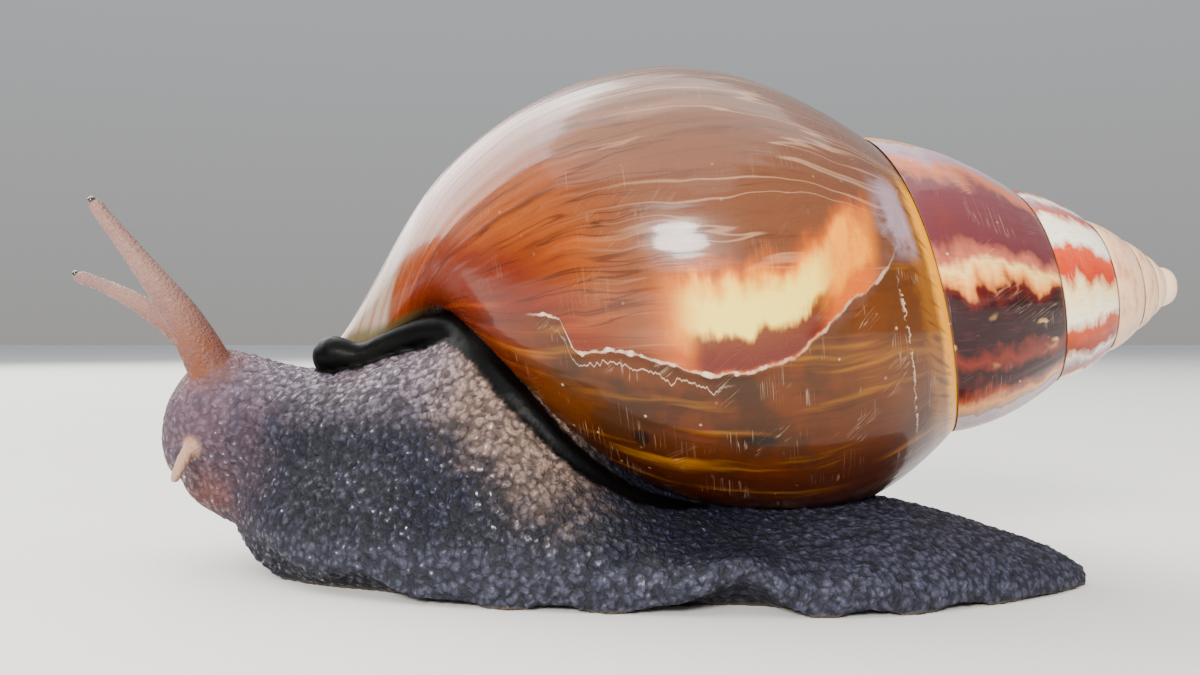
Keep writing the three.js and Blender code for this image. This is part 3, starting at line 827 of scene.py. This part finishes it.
def youngShell(m, k, g, n, w, drift, streak):
    # brown above, golden then rust towards the columella, with fine growth lines
    body = m.blend(m.ease(n, 0.40, 0.56), k["taupe"], k["mauve"])
    body = m.blend(m.ease(w + drift * 0.2, 0.50, 0.80), body, k["golden"])
    body = m.blend(m.ease(w * 0.6 + n + drift * 0.12, 0.99, 1.08), body, k["rust"])
    body = m.blend(m.ease(streak["mid"], 0.50, 0.72) * m.ease(w, 0.45, 0.85) * 0.28, body, k["flame"])
    body = m.blend(m.ease(streak["mid"], 0.46, 0.30) * 0.5, body, k["darkStreak"])
    body = m.blend(m.ease(streak["fine"], 0.54, 0.74) * 0.40, body, k["darkStreak"])
    thin = m.ease((m.noise(m.vector(g * 75.0, w * 1.6, 1.0), 1.0, 2.0) - 0.5).step("ABSOLUTE"), 0.022, 0.003)
    body = m.blend(thin * m.ease(w, 0.2, 0.7) * 0.6, body, k["darkStreak"])
    pale = m.ease((m.noise(m.vector(g * 52.0, w * 1.2, 14.0), 1.0, 2.0) - 0.5).step("ABSOLUTE"), 0.018, 0.002)
    body = m.blend(pale * m.ease(w, 0.75, 0.35) * 0.32, body, k["paleStreak"])
    return m.blend(m.ease(streak["broad"], 0.56, 0.72) * m.ease(w, 0.75, 0.5) * 0.22, body, k["paleStreak"])


def flames(m, k, body, n, s, mend):
    # just ahead of the break: orange, yellow and cream, with a plum foot
    soft = m.noise(m.vector(s * 0.18, n * 26.0, 2.0), 1.0, 3.0, 0.5) - 0.5
    tongue = m.noise(m.vector(s * 0.50, n * 22.0, 5.0), 1.0, 3.0, 0.6) - 0.5
    high = mend + soft * 7.0 + tongue * 4.0
    low = mend + soft * 4.0 + tongue * 4.5
    foot = m.ease(mend, 0.3, -0.2)
    orange = m.ease(high, -12.5, -8.0) * foot * m.ease(s, 64.0, 57.0) * m.ease(s, 38.5, 41.0)
    body = m.blend(orange * 0.85, body, k["flame"])
    yellow = m.ease(high, -10.6, -7.6) * m.ease(low, -1.2, -3.2)
    yellow = yellow * m.ease(s, 62.0, 57.5) * m.ease(s, 38.5, 41.5)
    body = m.blend(yellow * (0.55 + m.ease(tongue, -0.1, 0.1) * 0.45), body, k["yellow"])
    cream = m.ease(high, -9.4, -6.6) * m.ease(low, -3.0, -4.6)
    cream = cream * m.ease(s, 60.5, 56.5) * m.ease(s, 43.5, 47.0)
    body = m.blend(cream * 0.95, body, k["cream"])
    plum = m.ease(low, -4.6, -3.2) * m.ease(mend, 0.1, -0.5)
    plum = plum * m.ease(s, 60.0, 57.0) * m.ease(s, 43.5, 46.5)
    return m.blend(plum * 0.92, body, k["plum"])


# dark patches on the older part: middle as turn and distance down the axis, then the reach either way
darkPatches = [
    (0.711, 51.8, 0.006, 2.6),
    (0.716, 63.6, 0.009, 1.2),
]


def oldShell(m, k, n, w, s, drift, worn, streak):
    # older part: worn amber and olive, redder and darker below, with the dark patches
    body = m.blend(m.ease(worn, 0.40, 0.64), k["oldAmber"], k["oldOlive"])
    body = m.blend(m.ease(w, 0.45, 0.10) * 0.55, body, k["bandBrown"])
    body = m.blend(m.ease(n + drift * 0.05, 0.68, 0.76) * 0.8, body, k["oldRust"])
    body = m.blend(m.ease(streak["fine"], 0.5, 0.75) * 0.45, body, k["darkStreak"])
    body = m.blend(m.ease(streak["mid"], 0.54, 0.76) * 0.26, body, k["bandGold"])
    for middleN, middleS, reachN, reachS in darkPatches:
        off = m.vector((n - middleN) / reachN, (s - middleS) / reachS, 0.0)
        away = m.node("ShaderNodeVectorMath", {"operation": "LENGTH"}, [off], "Value")
        body = m.blend(m.ease(away + worn * 1.2, 1.7, 1.1) * 0.85, body, k["oldDark"])
    return body


# colours in one run of the pattern of the second and third turns, and the run's start and length in turns
secondTurn = {
    "start": 1.42,
    "length": 0.36,
    "stops": [
        # the first two stops, pale lilac-grey, are painted sheen along the top of the second turn
        (0.00, tone(190, 170, 176)), (0.10, tone(158, 124, 134)), (0.15, tone(196, 104, 62)),
        (0.20, tone(176, 90, 56)), (0.24, tone(104, 50, 56)), (0.42, tone(96, 42, 46)),
        (0.465, tone(190, 100, 74)), (0.495, tone(255, 208, 120)), (0.53, tone(240, 150, 66)),
        (0.555, tone(90, 16, 8)), (0.585, tone(38, 4, 6)), (0.72, tone(34, 3, 5)),
        (0.77, tone(120, 36, 18)), (0.81, tone(34, 6, 8)), (0.87, tone(56, 8, 8)),
        (0.91, tone(156, 58, 12)), (0.95, tone(240, 160, 76)), (1.0, tone(150, 112, 104))],
}
thirdTurn = {
    "start": 2.44,
    "length": 0.31,
    "stops": [
        (0.0, tone(244, 230, 220)), (0.08, tone(160, 112, 120)), (0.14, tone(186, 70, 40)),
        (0.20, tone(255, 244, 220)), (0.33, tone(255, 250, 230)), (0.39, tone(214, 74, 34)),
        (0.52, tone(190, 50, 16)), (0.59, tone(252, 222, 160)), (0.75, tone(255, 246, 212)),
        (0.81, tone(192, 70, 14)), (0.94, tone(140, 42, 10)), (1.0, tone(232, 200, 176))],
}
spireTones = {
    "spot": tone(240, 190, 116),
    "smoke": tone(120, 52, 36),
    "sand": tone(240, 196, 156),
    "clay": tone(204, 124, 88),
    "tip": tone(250, 216, 178),
    "streak": tone(92, 44, 40),
    "seam": tone(120, 74, 56),
}


def turnPattern(m, turn, shifted):
    # the run of colours read off at a place round the turn, over and over
    return m.ramp(((shifted - turn["start"]) / turn["length"]).step("FRACT"), turn["stops"])


def upperShell(m, n, w, fineStreak):
    # flames across the turn that repeat round it, paler turn by turn
    k = spireTones
    wave = m.noise(m.vector(n * 13.0, w * 3.2, 9.0), 1.0, 3.0, 0.6) - 0.5
    second = turnPattern(m, secondTurn, n + wave * 0.085)
    spot = m.noise(m.vector(n * 30.0, w * 3.4, 1.0), 1.0, 2.0, 0.6)
    spotted = m.ease(spot, 0.58, 0.68) * m.ease(n, 1.64, 1.66) * m.ease(n, 1.71, 1.69)
    second = m.blend(spotted, second, k["spot"])
    second = m.blend(m.ease(wave, 0.05, 0.22) * 0.4, second, k["smoke"])
    third = turnPattern(m, thirdTurn, n + wave * 0.09)
    pale = m.blend(m.ease(wave, -0.05, 0.2) * 0.7, k["sand"], k["clay"])
    spire = m.blend(m.ease(n, 1.97, 2.0), second, third)
    spire = m.blend(m.ease(n, 2.97, 3.05), spire, pale)
    spire = m.blend(m.ease(n, 4.6, 5.6) * 0.6, spire, k["tip"])
    spire = m.blend(m.ease(fineStreak, 0.5, 0.75) * m.ease(n, 4.0, 2.0) * 0.35, spire, k["streak"])
    seam = m.ease(w, 0.035, 0.0).step("MAXIMUM", m.ease(w, 0.985, 1.0)) * m.ease(n, 1.0, 1.02)
    return m.blend(seam * 0.6, spire, k["seam"])


shellFinish = {
    "Coat Weight": 0.38,
    "Coat Roughness": 0.10,
    "Specular IOR Level": 0.20,
}


def shellMaterial():
    # all the parts of the shell's colour laid over one another, with its gloss and finest relief
    k = shellTones
    m = Shader(bpy.data.materials.new("shellColour"))
    n, w, hundred = m.split(m.node("ShaderNodeAttribute", {"attribute_name": "growth"}, (), "Vector"))
    s = hundred * 100.0
    here = m.places()
    drift = m.noise(here, 0.11, 2.0) - 0.5
    ragged = m.noise(here, 0.9, 3.0, 0.6) - 0.5
    worn = m.noise(here, 0.16, 4.0, 0.6)
    g = n + drift * 0.016
    # long streaks lie along the growth lines: fast across them, slow along them
    streak = {
        "fine": m.noise(m.vector(g * 230.0, w * 5.0, 0.0), 1.0, 3.0, 0.65),
        "mid": m.noise(m.vector(g * 62.0, w * 2.2, 3.0), 1.0, 3.0, 0.6),
        "broad": m.noise(m.vector(g * 19.0, w * 1.3, 7.0), 1.0, 2.0, 0.5),
    }
    mend = m.carried("mend") + ragged * 0.4
    scar = breakMarks(m, n, w, s, mend, ragged)
    old = m.ease(mend, -0.2, 0.6) * m.ease(s, 82.0, 70.0) * m.ease(n, 0.0, 0.2)
    old = old.step("MAXIMUM", m.ease(n, 0.665, 0.70))
    body = flames(m, k, youngShell(m, k, g, n, w, drift, streak), n, s, mend)
    body = m.blend(old, body, oldShell(m, k, n, w, s, drift, worn, streak))

    # gold edge along the seam with brown dashes, and a worn lilac patch where the break meets it
    dash = m.noise(m.vector(n * 150.0 + w * 60.0, w * 20.0, 5.0), 1.0, 2.0)
    band = m.ease(w + ragged * 0.03, 0.075, 0.045) * m.ease(n, 0.49, 0.53)
    gold = m.blend(m.ease(w + ragged * 0.010, 0.016, 0.032) * 0.85, k["bandGold"], k["bandBrown"])
    gold = m.blend(m.ease(dash, 0.50, 0.66) * m.ease(w, 0.008, 0.022) * 0.6, gold, k["darkStreak"])
    body = m.blend(band, body, gold)
    lilac = m.ease(s, 40.0, 37.0) * m.ease(n, 0.51, 0.535) * m.ease(n, 0.60, 0.575) * m.ease(w, 0.03, 0.05)
    body = m.blend(lilac * m.ease(worn, 0.36, 0.52) * 0.75, body, k["lilac"])

    # pale new shell at the lip and in front, and an olive line along the free edge
    front = m.ease(n + drift * 0.03 + (w - 0.93) * -0.35, 0.432, 0.410) * m.ease(w, 0.80, 0.88)
    fresh = m.ease(n + drift * 0.02, 0.045, 0.0).step("MAXIMUM", front)
    freshTone = m.blend(m.ease(streak["mid"], 0.42, 0.64) * 0.6, k["newGrowth"], k["golden"])
    body = m.blend(fresh * 0.9, body, freshTone)
    body = m.blend(m.ease(w, 0.986, 0.994) * m.ease(n, 0.62, 0.56) * 0.85, body, k["edgeOlive"])
    body = m.blend(scar, body, k["scar"])
    colour = m.blend(m.ease(n, 0.90, 0.985), body, upperShell(m, n, w, streak["fine"]))

    # scratches and chips collected over the years, most of them on the older part
    upDown = m.noise(m.vector(s * 1.5 + n * 14.0, n * 5.0, 0.0), 1.0, 2.0, 0.6)
    slanting = m.noise(m.vector(s * 0.9 - n * 150.0, s * 0.05 + n * 9.0, 20.0), 1.0, 2.0, 0.6)
    scratch = m.ease((upDown - 0.5).step("ABSOLUTE"), 0.014, 0.003)
    scratch = scratch * m.ease(m.noise(here, 0.22, 2.0), 0.54, 0.62)
    crossing = m.ease((slanting - 0.5).step("ABSOLUTE"), 0.014, 0.003)
    scratch = scratch.step("MAXIMUM", crossing * m.ease(m.noise(here, 0.19, 2.0), 0.42, 0.36))
    speck = m.ease(m.cells(here, 0.45), 0.10, 0.05) * m.ease(m.noise(here, 0.2, 1.0), 0.5, 0.6)
    wear = (scratch * 0.20).step("MAXIMUM", speck * 0.5) * (old * 0.75 + 0.25)
    colour = m.blend(wear, colour, k["scratch"])

    finest = m.noise(m.vector(g * 520.0, w * 9.0, 0.0), 1.0, 2.0, 0.6)
    height = streak["fine"] * 0.4 + finest * 0.2 + scar * 0.9 - wear * 0.6
    height = height + m.noise(here, 2.6, 3.0, 0.6) * 0.12
    rough = 0.24 + old * 0.10 + m.ease(worn, 0.45, 0.7) * 0.10 + wear * 0.25 + streak["fine"] * 0.06
    relief = m.bump(height, 0.00008, 0.7)
    return m.finish({"Base Color": colour, "Roughness": rough, "Normal": relief, **shellFinish})


# skin colours

skinTones = {
    "slate": tone(33, 34, 44),
    "navy": tone(18, 21, 38),
    # a plain grey for patches of the skin, also used as painted sheen on the pebble tops
    "greyAndSheen": tone(66, 66, 84),
    "brownPink": tone(152, 124, 108),
    "mauve": tone(104, 80, 92),
    "nape": tone(130, 116, 130),
    "glint": tone(200, 196, 212),
    # painted shade for the grooves between the pebbles
    "grooveShade": tone(9, 9, 13),
    "margin": tone(66, 67, 83),
    "mantle": tone(2, 2, 2),
    "feelerBase": tone(112, 64, 44),
    "feelerTip": tone(140, 108, 98),
    "feelerPale": tone(170, 132, 112),
    "sole": tone(84, 72, 64),
}


mantleFinish = {
    "Base Color": skinTones["mantle"],
    "Roughness": 0.42,
    "Specular IOR Level": 0.07,
}
skinFinish = {
    "Coat Roughness": 0.16,
    "Specular IOR Level": 0.2,
}


def skinMaterial():
    # wet pebbled skin in broad patches of tone, with painted sheen on the pebble tops and painted shade in
    # the grooves, then the feelers, then the near-black mantle edge
    k = skinTones
    m = Shader(bpy.data.materials.new("wetSkin"))
    here = m.places()
    x, _, z = m.split(here)
    mantle, feeler, pebble = m.carried("mantle"), m.carried("feeler"), m.carried("pebble")
    margin, warm = m.carried("margin"), m.carried("warm")
    broad = m.noise(here, 0.09, 3.0, 0.6)
    blotch = m.noise(here, 0.35, 3.0, 0.6)
    push = m.noise(here, 0.9, 2.0, output="Color")
    swirl = m.node("ShaderNodeVectorMath", {"operation": "ADD"}, [here, push])
    grain = m.softCells(swirl, 1.25, 0.35)
    fine = m.softCells(swirl, 2.7, 0.4)
    pick = m.split(m.cells(swirl, 1.25, "Color"))[0]   # one repeatable number for each pebble
    base = m.blend(m.ease(broad, 0.38, 0.62), k["slate"], k["navy"])
    warmth = m.ease(warm + (blotch - 0.5) * 0.5 + (pick - 0.5) * 0.25, 0.05, 1.0)
    base = m.blend(warmth * 0.85, base, k["brownPink"])
    nape = m.ease(x, -12.0, -20.0) * m.ease(z - blotch * 5.0, 13.0, 22.0)
    base = m.blend(nape * 0.8, base, k["nape"])
    base = m.blend(m.ease(x + blotch * 8.0 - z * 0.3, -32.0, -50.0) * 0.85, base, k["mauve"])
    chin = m.ease(x, -40.0, -46.0) * m.ease(z, 14.0, 8.0)
    base = m.blend(chin * 0.6, base, k["feelerBase"])
    base = m.blend(m.ease(x, 10.0, 30.0) * 0.7, base, k["margin"])
    base = m.blend(margin * 0.6, base, k["margin"])
    base = m.blend(m.ease(blotch, 0.50, 0.72) * m.ease(x, 8.0, -14.0) * 0.45, base, k["greyAndSheen"])
    # painted sheen: the tops of the pebbles made lighter grey, by a different amount on each pebble
    base = m.blend(m.ease(grain, 0.34, 0.12) * (pick * 0.55 + 0.05), base, k["greyAndSheen"])
    glint = m.ease(pick, 0.66, 0.92) * m.ease(grain, 0.26, 0.10) * m.ease(blotch, 0.38, 0.62)
    base = m.blend(glint * (0.10 + m.ease(x, -4.0, -16.0) * 0.65), base, k["glint"])
    # painted shade: the grooves between the pebbles darkened, less strongly on the head
    grooveShadeStrength = 0.4 + m.ease(x, -42.0, -32.0) * 0.3
    base = m.blend(m.ease(pebble, 0.6, 0.0) * grooveShadeStrength, base, k["grooveShade"])
    base = m.blend(m.ease(grain, 0.28, 0.68) * grooveShadeStrength, base, k["grooveShade"])
    base = m.blend(m.ease(z, 0.5, 0.15), base, k["sole"])
    stalk = m.blend(m.ease(z + x * -0.25, 34.0, 50.0), k["feelerBase"], k["feelerTip"])
    stalk = m.blend(m.ease(blotch, 0.45, 0.62) * 0.25, stalk, k["mauve"])
    stalk = m.blend(m.ease(z, 17.0, 14.0), stalk, k["feelerPale"])
    base = m.blend(feeler, base, stalk)
    base = m.blend(mantle, base, k["mantle"])
    body = 1 - mantle
    height = (0.8 - grain) * 1.2 * body * (1.0 - feeler * 0.85) + (0.6 - fine) * 0.5 * body
    height = height + m.noise(here, 3.5, 2.0) * 0.25
    bump = m.bump(height, 0.00030, 0.9)
    rough = 0.34 + m.ease(grain, 0.3, 0.55) * 0.25 + mantle * 0.15 + blotch * 0.10
    wet = m.ease(grain, 0.34, 0.12) * body * (1.0 - feeler * 0.7) * 0.6
    wet = wet * (0.2 + m.ease(x, -4.0, -16.0) * 0.8)
    m.finish({"Base Color": base, "Roughness": rough, "Normal": bump, "Coat Weight": wet, **skinFinish})
    ripple = m.bump(blotch + pebble * 0.2, 0.00020, 0.5)
    black = m.node("ShaderNodeBsdfPrincipled", {}, {**mantleFinish, "Normal": ripple})
    flesh = Wire(m, m.tree.nodes["Principled BSDF"].outputs[0])
    both = m.node("ShaderNodeMixShader", {}, [mantle, flesh, black])
    m.feed(m.tree.nodes["Material Output"].inputs["Surface"], both)
    return m.owner


def eyeMaterial():
    # nearly black and glossy
    m = Shader(bpy.data.materials.new("eyeDark"))
    here = m.places()
    colour = m.blend(m.noise(here, 3.0, 1.0), tone(24, 16, 14), tone(60, 40, 34))
    return m.finish({"Base Color": colour, "Roughness": 0.12, "Coat Weight": 0.6, "Coat Roughness": 0.05})


def floorMaterial():
    # plain pale grey, slightly uneven
    m = Shader(bpy.data.materials.new("paleFloor"))
    here = m.places()
    colour = m.blend(m.noise(here, 0.02, 3.0), tone(222, 220, 216), tone(230, 228, 224))
    return m.finish({"Base Color": colour, "Roughness": 0.75})


shellLook = shellMaterial()
lastTurnPiece.data.materials.append(shellLook)
spirePiece.data.materials.append(shellLook)
skinPiece.data.materials.append(skinMaterial())
eyeLook = eyeMaterial()
for piece in eyePieces.values():
    piece.data.materials.append(eyeLook)
print("materials made")

# floor, light and camera

# places and sizes here are in metres, powers in watts
stageForm = {
    "floorReach": 4,
    "horizon": (0.50, 0.49, 0.48),
    "zenith": (0.78, 0.84, 0.92),
    "zenithFrom": 0.75,      # height of the view, as a sine, above which the sky stays the same
    "skyStrength": 0.75,
    "cameraAt": (0.00041, -0.13934, 0.027),
    "lens": 35,              # millimetres, as is the next one
    "sensor": 36,
    "nearest": 0.005,
}
lamps = {
    "sky_above": {
        "at": (-0.10, 0.05, 1.0), "target": (0, 0, 0.03), "size": (1.7, 1.3), "power": 15.0,
        "colour": (1, 0.98, 0.95), "shape": "RECTANGLE"},
    "sky_behind": {
        "at": (-0.62, 0.55, 0.62), "target": (-0.01, 0, 0.04), "size": (1.0, 0.8), "power": 17.0,
        "colour": (1, 0.99, 0.97), "shape": "RECTANGLE"},
    "near_side": {
        "at": (-0.13, -0.50, 0.25), "target": (0, 0, 0.03), "size": (0.18, 0.15), "power": 5.5,
        "colour": (1, 0.97, 0.92), "shape": "ELLIPSE"},
}


def layFloor():
    # one large square on z = 0
    reach = stageForm["floorReach"]
    mesh = bpy.data.meshes.new("floor")
    corners = [(-reach, -reach, 0), (reach, -reach, 0), (reach, reach, 0), (-reach, reach, 0)]
    mesh.from_pydata(corners, [], [(0, 1, 2, 3)])
    mesh.materials.append(floorMaterial())
    floor = bpy.data.objects.new("floor", mesh)
    bpy.context.scene.collection.objects.link(floor)


def paintSky():
    # an even sky, paler and bluer towards the top
    world = bpy.data.worlds.new("studio")
    bpy.context.scene.world = world
    m = Shader(world)
    height = m.split(m.node("ShaderNodeTexCoord", {}, (), "Generated"))[2]
    shade = m.ramp(height, [(0.0, stageForm["horizon"]), (stageForm["zenithFrom"], stageForm["zenith"])])
    backdrop = m.tree.nodes["Background"]
    m.feed(backdrop.inputs["Color"], shade)
    m.feed(backdrop.inputs["Strength"], stageForm["skyStrength"])


def hangLamp(name):
    # a soft area light turned towards its target
    form = lamps[name]
    light = bpy.data.lights.new(name, "AREA")
    light.shape = form["shape"]
    light.size, light.size_y = form["size"]
    light.energy = form["power"]
    light.color = form["colour"]
    lamp = bpy.data.objects.new(name, light)
    lamp.location = form["at"]
    lamp.rotation_euler = (Vector(form["target"]) - Vector(form["at"])).to_track_quat("-Z", "Y").to_euler()
    bpy.context.scene.collection.objects.link(lamp)


def placeCamera():
    # level, looking along +Y
    data = bpy.data.cameras.new("view")
    data.lens = stageForm["lens"]
    data.sensor_width = stageForm["sensor"]
    data.clip_start = stageForm["nearest"]
    camera = bpy.data.objects.new("view", data)
    camera.location = stageForm["cameraAt"]
    camera.rotation_euler = (math.radians(90), 0, 0)
    bpy.context.scene.collection.objects.link(camera)
    bpy.context.scene.camera = camera


layFloor()
paintSky()
for name in lamps:
    hangLamp(name)
placeCamera()
print("stage set")
